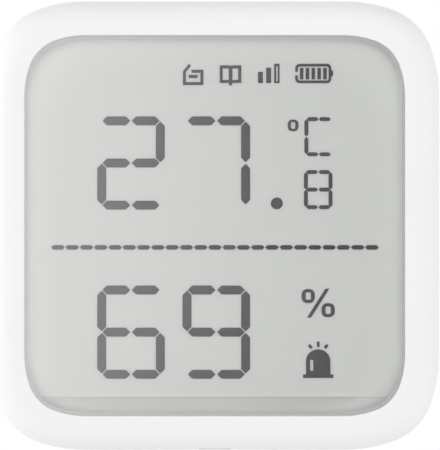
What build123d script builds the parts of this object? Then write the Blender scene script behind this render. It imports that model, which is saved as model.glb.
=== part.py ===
from build123d import *

import os
from math import cos, radians, sin

# Wireless temperature and humidity sensor: a white soft-square case round a
# liquid crystal display, hung on a panel that is fixed to the wall.
#
# Frame: X to the right, Z up, and the front faces -Y. The origin is the centre
# of the panel's back face, so a depth is a distance from the wall and Y is minus
# that depth. Places on the face are pairs of X and Z. Sizes are in millimetres.

# Outlines of the case and of its window: squares whose corners are a tight arc
# between two wide ones. Each is given by its half width and these two radii.
SIDE = 60.0
DEPTH = 16.0
WIDE_ARC_TURN = 20.0
TIGHT_ARC_TURN = 90 - 2 * WIDE_ARC_TURN
CASE_OUTLINE = (SIDE / 2, 18.8, 8.35)
WINDOW_OUTLINE = (25.31, 12.15, 5.45)
DRAFT = 1.4
FRONT_ROUND = 3.2
INNER_ROUND = 1.8
WALL = 1.7
REAR_RIM = 0.4

# Half widths of everything that follows one of the outlines
INTERIOR_HALF = SIDE / 2 - WALL
PANEL_HALF = INTERIOR_HALF - 0.2
CHASSIS_HALF = INTERIOR_HALF - 0.25
TRAY_HALF = 26.8
BOARD_HALF = 26.6
WINDOW_HALF = WINDOW_OUTLINE[0]
SHELF_HALF = 24.85
LENS_GAP, LENS_EDGE = 0.03, 0.05
WINDOW_ROUND = 0.15

# Depths from the wall
PANEL_FRONT = 1.6
CHASSIS_REAR, CHASSIS_FRONT = 3.0, 4.4
BOARD_REAR, BOARD_FRONT = 8.9, 9.9
TRAY_FLOOR_REAR, TRAY_FLOOR_FRONT = 11.3, 12.3
TRAY_RIM_FRONT = 14.1
REFLECTOR_FRONT = 12.55
REAR_GLASS_FRONT = 13.25
FRONT_GLASS_REAR, FRONT_GLASS_FRONT = 13.3, 14.0
POLARISER_FRONT = 14.2
SHELF_REAR, SHELF_FRONT = 14.3, 14.9
LENS_REAR, LENS_FRONT = 15.05, 15.85

# Screw bosses in the case, beside the display
BOSS_PLACES = [(x, z) for x in (-26.7, 26.7) for z in (-14.5, 14.5)]
BOSS_RADIUS = 1.5
BOSS_WEB = 1.6
PILOT_RADIUS, PILOT_DEPTH = 0.8, 6.6
SCREW_RADIUS, SCREW_LENGTH = 0.75, 6.5
SCREW_HEAD_RADIUS, SCREW_HEAD_HEIGHT = 1.3, 0.9

# Hooks on top of the panel, their pockets in the case, and the latch arm below
HOOK_PLACES = (-12.0, 12.0)
HOOK_WIDTH = 8.0
HOOK_FOOT, HOOK_STEP, HOOK_TIP = 26.6, 28.0, 28.9
TONGUE_REAR, TONGUE_FRONT = 2.05, 2.75
POCKET_REAR, POCKET_FRONT, POCKET_TOP = 1.4, 3.0, 29.3
POCKET_GAP = 0.3
TURN_DEPTH, TURN_LEVEL, LIP_RADIUS = 0.4, 29.4, 1.4
LATCH_WIDTH = 10.0
LATCH_TOP, LATCH_UNDERSIDE, LATCH_FRONT = -26.75, -27.95, 4.2

# Release recess and air slots in the bottom wall
RECESS_WIDTH, RECESS_TOP = 4.2, -29.1
RECESS_REAR, RECESS_FRONT = 2.2, 13.6
SLOT_PLACES = [side * x for side in (-1, 1) for x in (8.0, 10.2, 12.4, 14.6)]
SLOT_WIDTH, SLOT_LENGTH, SLOT_MIDDLE = 1.0, 3.6, 6.8

# Wall fixing
WALL_SCREW_PLACES = [(-17.0, 0.0), (17.0, 0.0)]
WALL_HOLE_RADIUS, WALL_SINK_RADIUS, WALL_SINK_ANGLE = 1.7, 2.75, 90
PAD_LENGTH, PAD_HEIGHT, PAD_DEPTH = 30.0, 9.0, 0.8
PAD_PLACES = [(0.0, -17.0), (0.0, 17.0)]
RELIEF_WIDTH, RELIEF_HEIGHT, RELIEF_DEPTH = 6.6, 8.0, 0.7
RELIEF_PITCH_X, RELIEF_PITCH_Z = 8.0, 9.5

# Display glass
GLASS_HALF = 25.0
GLASS_CORNER = 2.0
REAR_GLASS_BOTTOM = -22.9
POLARISER_BOTTOM = -22.96
SEAL_WIDTH = 0.6
STRIP_BOTTOM, STRIP_TOP, STRIP_LENGTH = -24.9, -23.3, 40.0

# Coin cell
CELL_REAR, CELL_HEIGHT, CELL_RADIUS = 3.4, 5.0, 12.25
CELL_SKIN = 0.25
CAP_RADIUS = 10.9
POCKET_RADIUS, POCKET_WALL = 12.6, 1.2
FINGER_NOTCH = ((-17.0, -4.5), (-12.0, 4.5))
CONTACT_NOTCH = ((12.0, -3.2), (16.0, 3.2))

# Switches, each behind its hole in the chassis
TAMPER_PLACE = (19.0, 15.0)
PLUNGER_RADIUS, PLUNGER_FLANGE_RADIUS = 1.0, 1.7
PLUNGER_TIP, PLUNGER_FLANGE_REAR, PLUNGER_FLANGE_FRONT = 2.45, 6.3, 6.8
TAMPER_REAR, TAMPER_SIDE = 4.7, 7.0
TAMPER_CAVITY_REAR, TAMPER_CAVITY_FRONT, TAMPER_CAVITY_RADIUS = 5.1, 8.6, 1.8
SPRING_RADIUS, SPRING_WIRE, SPRING_TURNS = 1.1, 0.3, 3.5
PAD_BOSS_FRONT = 2.4
BUTTON_PLACE = (18.0, -16.0)
BUTTON_REAR, BUTTON_RADIUS = 3.15, 2.0
BUTTON_FLANGE_REAR, BUTTON_FLANGE_FRONT, BUTTON_FLANGE_RADIUS = 4.45, 5.0, 2.6
FUNCTION_SWITCH_REAR, FUNCTION_SWITCH_SIDE = 5.6, 6.0
STEM_RADIUS, STEM_FRONT, STEM_BORE_FRONT = 1.1, 6.4, 6.9

# Display figures, on centre lines
LARGE = {"half_width": 3.9, "half_height": 5.61, "stroke": 1.19, "gap": 0.1}
SMALL = {"half_width": 1.64, "half_height": 2.34, "stroke": 0.53, "gap": 0.03}
LARGE_PLACES = (-11.15, 0.2)
TEMPERATURE_LEVEL, HUMIDITY_LEVEL = 8.33, -14.18
DECIMAL_PLACE, DECIMAL_RADIUS = (8.26, 2.96), 0.79
SMALL_PLACE = (13.76, 4.79)
LETTER_PLACE = (13.83, 11.83)
DASH_COUNT, DASH_PITCH, DASH_LENGTH, DASH_WIDTH = 23, 1.899, 1.81, 0.6
DASH_START, DASH_LEVEL = -20.87, -2.9
BARS_OF = {
    "2": ("top", "upper right", "middle", "lower left", "bottom"),
    "6": ("top", "upper left", "middle", "lower left", "lower right", "bottom"),
    "7": ("top", "upper right", "lower right"),
    "8": ("top", "upper left", "upper right", "middle", "lower left", "lower right", "bottom"),
    "9": ("top", "upper left", "upper right", "middle", "lower right", "bottom"),
    "C": ("top", "upper left", "lower left", "bottom"),
}


def at_depth(depth):
    """Plane parallel to the wall and seen from the front, at a distance from the wall."""
    return Plane.XZ.offset(depth)


def soft_square(half, outline=CASE_OUTLINE):
    """Face of one of the two outlines, drawn in evenly to a half width."""
    full, wide, tight = outline
    wide, tight = wide - (full - half), tight - (full - half)
    turn = radians(WIDE_ARC_TURN)
    reach = wide * (sin(turn) + 1 - cos(turn)) + tight * (cos(turn) - sin(turn))
    with BuildSketch(mode=Mode.PRIVATE) as face:
        with BuildLine():
            side = Line((0, -half), (half - reach, -half))
            first = JernArc(side @ 1, side % 1, wide, WIDE_ARC_TURN)
            middle = JernArc(first @ 1, first % 1, tight, TIGHT_ARC_TURN)
            last = JernArc(middle @ 1, middle % 1, wide, WIDE_ARC_TURN)
            Line(last @ 1, (half, 0))
            mirror(about=Plane.XZ)
            mirror(about=Plane.YZ)
        make_face()
    return face.sketch


def glass_outline(half, bottom, corner):
    """Face of a square plate with bevelled corners, cut off level at the bottom."""
    with BuildSketch(mode=Mode.PRIVATE) as outline:
        Rectangle(2 * half, 2 * half)
        chamfer(outline.vertices(), corner)
        with Locations((0, (half + bottom) / 2)):
            Rectangle(2 * half, half - bottom, mode=Mode.INTERSECT)
    return outline.sketch


def box_between(start, end):
    """Face of a level rectangle from one corner to the opposite one."""
    with BuildSketch(mode=Mode.PRIVATE) as outline:
        with Locations(((start[0] + end[0]) / 2, (start[1] + end[1]) / 2)):
            Rectangle(abs(end[0] - start[0]), abs(end[1] - start[1]))
    return outline.sketch


def pen_line(*points, width, close=False):
    """Face of a line of one width that runs through the points."""
    with BuildSketch(mode=Mode.PRIVATE) as stroke:
        with BuildLine():
            Polyline(*points, close=close)
        trace(line_width=width)
    return stroke.sketch


def soft_ring(place, size, strokes):
    """Face of an upright ring with rounded corners. Its sides and its levels have their strokes."""
    width, height = size[0] - 2 * strokes[0], size[1] - 2 * strokes[1]
    with BuildSketch(mode=Mode.PRIVATE) as ring:
        with Locations(place):
            RectangleRounded(*size, 0.42 * size[0])
            RectangleRounded(width, height, 0.3 * width, mode=Mode.SUBTRACT)
    return ring.sketch


def pointed_bar(start, end, stroke):
    """Face of a display bar, which comes to a point at both of its tips."""
    start, end = Vector(*start), Vector(*end)
    along = (end - start).normalized() * (stroke / 2)
    across = along.rotate(Axis.Z, 90)
    with BuildSketch(mode=Mode.PRIVATE) as bar:
        with BuildLine():
            Polyline(
                start,
                start + along + across,
                end - along + across,
                end,
                end - along - across,
                start + along - across,
                close=True,
            )
        make_face()
    return bar.sketch


def figure(name, place, half_width, half_height, stroke, gap):
    """Faces of the bars that make one figure. Its level bars are in two halves."""
    x, z = place
    levels = {"top": z + half_height, "middle": z, "bottom": z - half_height}
    sides = {"left": x - half_width, "right": x + half_width}
    bars = []
    for bar in BARS_OF[name]:
        if bar in levels:
            level = levels[bar]
            bars.append(pointed_bar((sides["left"] + gap, level), (x - gap, level), stroke))
            bars.append(pointed_bar((x + gap, level), (sides["right"] - gap, level), stroke))
            continue
        half, side = bar.split()
        low = z if half == "upper" else z - half_height
        bars.append(
            pointed_bar((sides[side], low + gap), (sides[side], low + half_height - gap), stroke)
        )
    return bars


# Front case: a drafted shell, open at the back, with the window in its front
with BuildPart() as front_case:
    with BuildSketch(at_depth(REAR_RIM)):
        add(soft_square(SIDE / 2))
    extrude(amount=DEPTH - REAR_RIM, taper=DRAFT)
    fillet(front_case.faces().sort_by(Axis.Y)[0].edges(), FRONT_ROUND)

    with BuildSketch(at_depth(REAR_RIM)):
        add(soft_square(INTERIOR_HALF))
    extrude(amount=SHELF_REAR - REAR_RIM, mode=Mode.SUBTRACT)
    inner_corner = front_case.edges().filter_by_position(
        Axis.Y, -SHELF_REAR - 0.01, -SHELF_REAR + 0.01
    )
    fillet(inner_corner, INNER_ROUND)

    # The window is a recess for the lens, with a narrower opening behind it
    with BuildSketch(at_depth(SHELF_REAR)):
        add(soft_square(SHELF_HALF, WINDOW_OUTLINE))
    extrude(amount=SHELF_FRONT - SHELF_REAR, mode=Mode.SUBTRACT)
    with BuildSketch(at_depth(SHELF_FRONT)):
        add(soft_square(WINDOW_HALF, WINDOW_OUTLINE))
    extrude(amount=DEPTH - SHELF_FRONT, mode=Mode.SUBTRACT)
    window_rim = front_case.faces().sort_by(Axis.Y)[0].inner_wires()[0]
    fillet(window_rim.edges(), WINDOW_ROUND)

    # Each boss stands on the front wall, tied to the side wall by a web
    with BuildSketch(at_depth(CHASSIS_FRONT)):
        for x, z in BOSS_PLACES:
            with Locations((x, z)):
                Circle(BOSS_RADIUS)
            outward = 1 if x > 0 else -1
            add(
                box_between(
                    (x, z - BOSS_WEB / 2), (outward * (INTERIOR_HALF + 0.3), z + BOSS_WEB / 2)
                )
            )
    extrude(amount=SHELF_REAR + 0.2 - CHASSIS_FRONT)
    with BuildSketch(at_depth(CHASSIS_FRONT)):
        with Locations(*BOSS_PLACES):
            Circle(PILOT_RADIUS)
    extrude(amount=PILOT_DEPTH, mode=Mode.SUBTRACT)

    with BuildSketch(at_depth(POCKET_REAR)):
        for x in HOOK_PLACES:
            half = HOOK_WIDTH / 2 + POCKET_GAP
            add(box_between((x - half, INTERIOR_HALF - 0.3), (x + half, POCKET_TOP)))
    extrude(amount=POCKET_FRONT - POCKET_REAR, mode=Mode.SUBTRACT)

    # The lip behind each pocket is rounded about the line that the case turns on
    pocket_starts = [x - HOOK_WIDTH / 2 - POCKET_GAP for x in HOOK_PLACES]
    with BuildSketch(*[Plane.YZ.offset(x) for x in pocket_starts]):
        with Locations((-POCKET_REAR, INTERIOR_HALF)):
            Rectangle(1.0, 1.0)
        with Locations((-TURN_DEPTH, TURN_LEVEL)):
            Circle(LIP_RADIUS, mode=Mode.SUBTRACT)
    extrude(amount=HOOK_WIDTH + 2 * POCKET_GAP, mode=Mode.SUBTRACT)

    with BuildSketch(at_depth(RECESS_REAR)):
        add(box_between((-RECESS_WIDTH / 2, RECESS_TOP), (RECESS_WIDTH / 2, -SIDE / 2 - 1)))
    extrude(amount=RECESS_FRONT - RECESS_REAR, mode=Mode.SUBTRACT)

    with BuildSketch(Plane.XY.offset(-SIDE / 2 - 1)):
        with Locations(*[(x, -SLOT_MIDDLE) for x in SLOT_PLACES]):
            SlotOverall(SLOT_LENGTH, SLOT_WIDTH, rotation=90)
    extrude(amount=WALL + 1.2, mode=Mode.SUBTRACT)

# Window lens and the ring of adhesive that holds it on the shelf
with BuildPart() as window_lens:
    with BuildSketch(at_depth(LENS_REAR)):
        add(soft_square(WINDOW_HALF - LENS_GAP, WINDOW_OUTLINE))
    extrude(amount=LENS_FRONT - LENS_REAR)
    chamfer(window_lens.faces().sort_by(Axis.Y)[0].edges(), LENS_EDGE)

with BuildPart() as lens_adhesive:
    with BuildSketch(at_depth(SHELF_FRONT)):
        add(soft_square(WINDOW_HALF - LENS_GAP, WINDOW_OUTLINE))
        add(soft_square(SHELF_HALF, WINDOW_OUTLINE), mode=Mode.SUBTRACT)
    extrude(amount=LENS_REAR - SHELF_FRONT)

# Display: two glass plates with the figures between them, a polariser in front
# and a reflector behind. The front plate alone reaches down to the connector.
with BuildPart() as front_polariser:
    with BuildSketch(at_depth(FRONT_GLASS_FRONT)):
        add(glass_outline(GLASS_HALF - 0.05, POLARISER_BOTTOM, GLASS_CORNER))
    extrude(amount=POLARISER_FRONT - FRONT_GLASS_FRONT)

with BuildPart() as display_front_glass:
    with BuildSketch(at_depth(FRONT_GLASS_REAR)):
        add(glass_outline(GLASS_HALF, -GLASS_HALF, GLASS_CORNER))
    extrude(amount=FRONT_GLASS_FRONT - FRONT_GLASS_REAR)

with BuildPart() as display_rear_glass:
    with BuildSketch(at_depth(REFLECTOR_FRONT)):
        add(glass_outline(GLASS_HALF, REAR_GLASS_BOTTOM, GLASS_CORNER))
    extrude(amount=REAR_GLASS_FRONT - REFLECTOR_FRONT)

with BuildPart() as reflector:
    with BuildSketch(at_depth(TRAY_FLOOR_FRONT)):
        add(glass_outline(GLASS_HALF - 0.1, REAR_GLASS_BOTTOM + 0.1, GLASS_CORNER))
    extrude(amount=REFLECTOR_FRONT - TRAY_FLOOR_FRONT)

with BuildPart() as display_edge_seal:
    with BuildSketch(at_depth(REAR_GLASS_FRONT)):
        add(glass_outline(GLASS_HALF - 0.1, REAR_GLASS_BOTTOM + 0.1, GLASS_CORNER))
        inner = glass_outline(
            GLASS_HALF - 0.1 - SEAL_WIDTH, REAR_GLASS_BOTTOM + 0.1 + SEAL_WIDTH, GLASS_CORNER
        )
        add(inner, mode=Mode.SUBTRACT)
    extrude(amount=FRONT_GLASS_REAR - REAR_GLASS_FRONT)

# Display figures, as thick as the gap between the two plates
with BuildPart() as temperature_digits:
    with BuildSketch(at_depth(REAR_GLASS_FRONT)):
        for x, name in zip(LARGE_PLACES, "27"):
            add(figure(name, (x, TEMPERATURE_LEVEL), **LARGE))
        add(figure("8", SMALL_PLACE, **SMALL))
        with Locations(DECIMAL_PLACE):
            Circle(DECIMAL_RADIUS)
    extrude(amount=FRONT_GLASS_REAR - REAR_GLASS_FRONT)

with BuildPart() as humidity_digits:
    with BuildSketch(at_depth(REAR_GLASS_FRONT)):
        for x, name in zip(LARGE_PLACES, "69"):
            add(figure(name, (x, HUMIDITY_LEVEL), **LARGE))
    extrude(amount=FRONT_GLASS_REAR - REAR_GLASS_FRONT)

with BuildPart() as divider_dashes:
    with BuildSketch(at_depth(REAR_GLASS_FRONT)):
        for count in range(DASH_COUNT):
            middle = DASH_START + count * DASH_PITCH
            tips = (middle - DASH_LENGTH / 2, DASH_LEVEL), (middle + DASH_LENGTH / 2, DASH_LEVEL)
            add(pointed_bar(*tips, DASH_WIDTH))
    extrude(amount=FRONT_GLASS_REAR - REAR_GLASS_FRONT)

with BuildPart() as unit_symbols:
    with BuildSketch(at_depth(REAR_GLASS_FRONT)):
        add(figure("C", LETTER_PLACE, **SMALL))
        add(soft_ring((10.42, 13.33), size=(1.44, 1.56), strokes=(0.44, 0.34)))
        for place in ((12.44, -9.38), (15.08, -11.26)):
            add(soft_ring(place, size=(1.75, 1.86), strokes=(0.53, 0.43)))
        with BuildLine():
            Polyline(
                (12.26, -12.26), (12.8, -12.26), (15.25, -8.39), (14.71, -8.39), close=True
            )
        make_face()
    extrude(amount=FRONT_GLASS_REAR - REAR_GLASS_FRONT)

with BuildPart() as alarm_symbol:
    with BuildSketch(at_depth(REAR_GLASS_FRONT)):
        # Dome lamp on its base, with a light slot in it
        with Locations((13.76, -18.09)):
            Circle(1.63)
        add(box_between((12.13, -20.0), (15.39, -18.09)))
        add(box_between((11.74, -20.28), (15.78, -19.8)))
        add(box_between((12.7, -19.32), (13.1, -17.88)), mode=Mode.SUBTRACT)
        # Three rays
        add(pen_line((13.76, -16.16), (13.76, -15.42), width=0.37))
        add(pen_line((12.89, -16.3), (12.51, -15.87), width=0.39))
        add(pen_line((14.63, -16.3), (15.01, -15.87), width=0.39))
    extrude(amount=FRONT_GLASS_REAR - REAR_GLASS_FRONT)

with BuildPart() as status_symbols:
    with BuildSketch(at_depth(REAR_GLASS_FRONT)):
        # Open case
        lid = ((-3.3, 21.4), (-4.04, 20.5), (-4.04, 18.9), (-1.72, 18.9), (-1.72, 20.54))
        add(pen_line(*lid, (-3.1, 20.54), width=0.4))
        add(pen_line((-3.48, 19.84), (-2.29, 19.84), width=0.44))
        # Open book
        add(box_between((0.65, 18.98), (3.52, 21.33)))
        add(box_between((1.05, 19.39), (1.85, 20.9)), mode=Mode.SUBTRACT)
        add(box_between((2.34, 19.39), (3.1, 20.9)), mode=Mode.SUBTRACT)
        add(box_between((1.98, 21.26), (2.22, 21.4)), mode=Mode.SUBTRACT)
        add(box_between((1.88, 18.65), (2.31, 20.0)))
        # Signal bars, the last of them hollow
        add(box_between((5.74, 18.96), (6.4, 20.46)))
        add(box_between((6.83, 18.96), (7.49, 21.01)))
        add(box_between((7.9, 18.96), (8.61, 21.54)))
        add(box_between((8.16, 19.17), (8.38, 21.23)), mode=Mode.SUBTRACT)
        # Battery with five charge bars, open at the left
        with Locations((13.1, 20.24)):
            RectangleRounded(4.8, 2.59, 0.58)
            RectangleRounded(4.1, 1.85, 0.3, mode=Mode.SUBTRACT)
        add(box_between((10.6, 20.0), (11.1, 20.47)), mode=Mode.SUBTRACT)
        with Locations((15.52, 20.26)):
            RectangleRounded(0.44, 0.84, 0.2)
        for count in range(5):
            left = 11.32 + 0.776 * count
            add(box_between((left, 19.45), (left + 0.47, 21.0)))
    extrude(amount=FRONT_GLASS_REAR - REAR_GLASS_FRONT)

# Display frame: a tray that seats the glass and stands on the board
with BuildPart() as display_frame:
    with BuildSketch(at_depth(BOARD_FRONT)):
        add(soft_square(TRAY_HALF))
        with Locations(*BOSS_PLACES):
            Circle(BOSS_RADIUS + 0.25, mode=Mode.SUBTRACT)
    extrude(amount=TRAY_RIM_FRONT - BOARD_FRONT)
    with BuildSketch(at_depth(TRAY_FLOOR_FRONT)):
        add(glass_outline(GLASS_HALF + 0.12, -GLASS_HALF - 0.12, GLASS_CORNER))
    extrude(amount=TRAY_RIM_FRONT - TRAY_FLOOR_FRONT, mode=Mode.SUBTRACT)
    with BuildSketch(at_depth(BOARD_FRONT)):
        RectangleRounded(46.0, 49.0, 2.0)
    extrude(amount=TRAY_FLOOR_REAR - BOARD_FRONT, mode=Mode.SUBTRACT)
    with BuildSketch(at_depth(BOARD_FRONT)):
        half = STRIP_LENGTH / 2 + 0.4
        add(box_between((-half, STRIP_BOTTOM - 0.15), (half, STRIP_TOP + 0.2)))
    extrude(amount=TRAY_FLOOR_FRONT - BOARD_FRONT, mode=Mode.SUBTRACT)

with BuildPart() as elastomer_strip:
    with BuildSketch(at_depth(BOARD_FRONT)):
        half = STRIP_LENGTH / 2
        add(box_between((-half, STRIP_BOTTOM), (half, STRIP_TOP)))
    extrude(amount=FRONT_GLASS_REAR - BOARD_FRONT)

# Main board, notched round the bosses, with a slot that keeps the board's heat
# away from the humidity sensor
with BuildPart() as main_board:
    with BuildSketch(at_depth(BOARD_REAR)):
        add(soft_square(BOARD_HALF))
        with Locations(*BOSS_PLACES):
            Circle(BOSS_RADIUS + 0.3, mode=Mode.SUBTRACT)
        add(box_between((-14.6, -18.2), (-9.4, -17.4)), mode=Mode.SUBTRACT)
        add(box_between((-14.6, -22.6), (-13.8, -17.4)), mode=Mode.SUBTRACT)
    extrude(amount=BOARD_FRONT - BOARD_REAR)

with BuildPart() as microcontroller:
    with BuildSketch(at_depth(BOARD_FRONT + 0.1)):
        with Locations((-6.0, 5.0)):
            Rectangle(7.0, 7.0)
    extrude(amount=0.9)
    chamfer(microcontroller.faces().sort_by(Axis.Y)[0].edges(), 0.15)
    with BuildSketch(at_depth(BOARD_FRONT)):
        with Locations((-6.0, 5.0)):
            with GridLocations(0.8, 8.2, 8, 2):
                Rectangle(0.35, 1.4)
            with GridLocations(8.2, 0.8, 2, 8):
                Rectangle(1.4, 0.35)
    extrude(amount=0.25)

with BuildPart() as crystal:
    with BuildSketch(at_depth(BOARD_FRONT)):
        with Locations((-6.0, -2.5)):
            RectangleRounded(3.2, 1.5, 0.4)
    extrude(amount=0.8)

with BuildPart() as board_components:
    with BuildSketch(at_depth(BOARD_FRONT)):
        with Locations((6.0, 6.0)):
            with GridLocations(3.0, 2.4, 3, 4):
                Rectangle(1.6, 0.8)
    extrude(amount=0.6)

# Radio: its chip under a sheet-metal shield, and a stamped antenna along the top
with BuildPart() as radio_shield:
    with BuildSketch(at_depth(BOARD_REAR)):
        with Locations((-18.8, 15.0)):
            RectangleRounded(9.0, 7.0, 0.5)
    extrude(amount=-2.2)
    with BuildSketch(at_depth(BOARD_REAR)):
        with Locations((-18.8, 15.0)):
            RectangleRounded(8.6, 6.6, 0.3)
    extrude(amount=-2.0, mode=Mode.SUBTRACT)

with BuildPart() as radio_chip:
    with BuildSketch(at_depth(BOARD_REAR)):
        with Locations((-18.8, 15.0)):
            Rectangle(4.0, 4.0)
    extrude(amount=-0.8)

with BuildPart() as antenna:
    with BuildSketch(at_depth(5.6)):
        add(box_between((-10.0, 21.8), (10.0, 24.6)))
        for x in (-5.0, 0.0, 5.0):
            add(box_between((x - 0.5, 22.8), (x + 0.5, 24.7)), mode=Mode.SUBTRACT)
    extrude(amount=0.3)
    with BuildSketch(at_depth(5.6)):
        for x in (-10.0, -7.2):
            add(box_between((x, 21.8), (x + 0.8, 22.1)))
    extrude(amount=BOARD_REAR - 5.6)

with BuildPart() as humidity_sensor:
    with BuildSketch(at_depth(BOARD_REAR)):
        with Locations((-11.6, -20.2)):
            Rectangle(2.5, 2.5)
    extrude(amount=-1.0)
    with BuildSketch(at_depth(BOARD_REAR - 1.0)):
        with Locations((-11.6, -20.2)):
            Circle(0.5)
    extrude(amount=0.5, mode=Mode.SUBTRACT)

# Coin cell, its face to the wall being the can and its face to the board the cap
cell_front = CELL_REAR + CELL_HEIGHT
can_edge = cell_front - 0.3

with BuildPart() as cell_can:
    with BuildSketch(Plane.XY):
        with BuildLine():
            Polyline(
                (0, -CELL_REAR),
                (CELL_RADIUS, -CELL_REAR),
                (CELL_RADIUS, -can_edge),
                (11.4, -can_edge),
                (11.4, -can_edge + CELL_SKIN),
                (CELL_RADIUS - CELL_SKIN, -can_edge + CELL_SKIN),
                (CELL_RADIUS - CELL_SKIN, -CELL_REAR - CELL_SKIN),
                (0, -CELL_REAR - CELL_SKIN),
                close=True,
            )
        make_face()
    revolve(axis=Axis.Y)

with BuildPart() as cell_cap:
    with BuildSketch(at_depth(4.4)):
        Circle(CAP_RADIUS)
    extrude(amount=cell_front - 4.4)
    with BuildSketch(at_depth(4.4)):
        Circle(CAP_RADIUS - CELL_SKIN)
    extrude(amount=cell_front - 4.4 - CELL_SKIN, mode=Mode.SUBTRACT)

with BuildPart() as cell_gasket:
    with BuildSketch(Plane.XY):
        with BuildLine():
            Polyline(
                (CAP_RADIUS, -4.0),
                (CELL_RADIUS - CELL_SKIN, -4.0),
                (CELL_RADIUS - CELL_SKIN, -can_edge + CELL_SKIN),
                (11.4, -can_edge + CELL_SKIN),
                (11.4, -can_edge),
                (CAP_RADIUS, -can_edge),
                close=True,
            )
        make_face()
    revolve(axis=Axis.Y)

with BuildPart() as cell_core:
    with BuildSketch(at_depth(CELL_REAR + CELL_SKIN)):
        Circle(CAP_RADIUS - CELL_SKIN)
    extrude(amount=CELL_HEIGHT - 2 * CELL_SKIN)

# Battery contacts: an arched strip under the cap and a leaf beside the can
with BuildPart() as battery_contact_negative:
    with BuildSketch(Plane.YZ):
        with BuildLine():
            Polyline(
                (-BOARD_REAR, -9.0),
                (-BOARD_REAR, -6.6),
                (-cell_front - 0.2, -2.5),
                (-cell_front - 0.2, 2.5),
                (-BOARD_REAR, 6.6),
                (-BOARD_REAR, 9.0),
                (-BOARD_REAR + 0.2, 9.0),
                (-BOARD_REAR + 0.2, 6.7),
                (-cell_front, 2.6),
                (-cell_front, -2.6),
                (-BOARD_REAR + 0.2, -6.7),
                (-BOARD_REAR + 0.2, -9.0),
                close=True,
            )
        make_face()
    extrude(amount=2.5, both=True)

with BuildPart() as battery_contact_positive:
    with BuildSketch(Plane.XY):
        with BuildLine():
            Polyline(
                (12.27, -4.5),
                (12.52, -4.5),
                (12.52, -BOARD_REAR + 0.2),
                (15.6, -BOARD_REAR + 0.2),
                (15.6, -BOARD_REAR),
                (12.27, -BOARD_REAR),
                close=True,
            )
        make_face()
    extrude(amount=2.8, both=True)

# Inner chassis: a plate with the battery pocket, screwed to the bosses
with BuildPart() as inner_chassis:
    with BuildSketch(at_depth(CHASSIS_REAR)):
        add(soft_square(CHASSIS_HALF))
        Circle(POCKET_RADIUS, mode=Mode.SUBTRACT)
        with Locations(*BOSS_PLACES):
            Circle(0.9, mode=Mode.SUBTRACT)
        with Locations(TAMPER_PLACE):
            Circle(PLUNGER_RADIUS + 0.4, mode=Mode.SUBTRACT)
        with Locations(BUTTON_PLACE):
            Circle(BUTTON_RADIUS + 0.12, mode=Mode.SUBTRACT)
        half = LATCH_WIDTH / 2 + 0.5
        add(box_between((-half, -CHASSIS_HALF - 1), (half, -26.4)), mode=Mode.SUBTRACT)
        add(box_between(*FINGER_NOTCH), mode=Mode.SUBTRACT)
    extrude(amount=CHASSIS_FRONT - CHASSIS_REAR)
    with BuildSketch(at_depth(CHASSIS_FRONT)):
        Circle(POCKET_RADIUS + POCKET_WALL)
        Circle(POCKET_RADIUS, mode=Mode.SUBTRACT)
        add(box_between(*FINGER_NOTCH), mode=Mode.SUBTRACT)
        add(box_between(*CONTACT_NOTCH), mode=Mode.SUBTRACT)
        with GridLocations(42.0, 42.0, 2, 2):
            Circle(1.5)
        with GridLocations(48.0, 8.0, 2, 2):
            Circle(1.3)
    extrude(amount=BOARD_REAR - CHASSIS_FRONT)
    # Two nibs keep the cell in its pocket
    with BuildSketch(at_depth(CHASSIS_REAR)):
        for side in (-1, 1):
            inner, outer = side * (CELL_RADIUS - 0.6), side * (POCKET_RADIUS + 0.4)
            add(box_between((-2.0, inner), (2.0, outer)))
    extrude(amount=CELL_REAR - 0.05 - CHASSIS_REAR)

with BuildPart() as chassis_screws:
    with BuildSketch(at_depth(CHASSIS_REAR)):
        with Locations(*BOSS_PLACES):
            Circle(SCREW_HEAD_RADIUS)
    extrude(amount=-SCREW_HEAD_HEIGHT)
    with BuildSketch(at_depth(CHASSIS_REAR)):
        with Locations(*BOSS_PLACES):
            Circle(SCREW_RADIUS)
    extrude(amount=SCREW_LENGTH)
    with BuildSketch(at_depth(CHASSIS_REAR - SCREW_HEAD_HEIGHT)):
        with Locations(*BOSS_PLACES):
            Rectangle(1.5, 0.35)
            Rectangle(0.35, 1.5)
    extrude(amount=0.5, mode=Mode.SUBTRACT)

# Tamper switch: the plunger rests on the panel and a spring follows it out
with BuildPart() as tamper_switch:
    with BuildSketch(at_depth(TAMPER_REAR)):
        with Locations(TAMPER_PLACE):
            RectangleRounded(TAMPER_SIDE, TAMPER_SIDE, 0.5)
    extrude(amount=BOARD_REAR - TAMPER_REAR)
    with BuildSketch(at_depth(TAMPER_CAVITY_REAR)):
        with Locations(TAMPER_PLACE):
            Circle(TAMPER_CAVITY_RADIUS)
    extrude(amount=TAMPER_CAVITY_FRONT - TAMPER_CAVITY_REAR, mode=Mode.SUBTRACT)
    with BuildSketch(at_depth(TAMPER_REAR)):
        with Locations(TAMPER_PLACE):
            Circle(PLUNGER_RADIUS + 0.1)
    extrude(amount=TAMPER_CAVITY_REAR - TAMPER_REAR, mode=Mode.SUBTRACT)

with BuildPart() as tamper_plunger:
    with BuildSketch(at_depth(PLUNGER_TIP)):
        with Locations(TAMPER_PLACE):
            Circle(PLUNGER_RADIUS)
    extrude(amount=PLUNGER_FLANGE_REAR - PLUNGER_TIP)
    fillet(tamper_plunger.edges().sort_by(Axis.Y)[-1], 0.4)
    with BuildSketch(at_depth(PLUNGER_FLANGE_REAR)):
        with Locations(TAMPER_PLACE):
            Circle(PLUNGER_FLANGE_RADIUS)
    extrude(amount=PLUNGER_FLANGE_FRONT - PLUNGER_FLANGE_REAR)
    with BuildSketch(at_depth(PLUNGER_FLANGE_FRONT)):
        with Locations(TAMPER_PLACE):
            Circle(0.7)
    extrude(amount=0.4)

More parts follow.
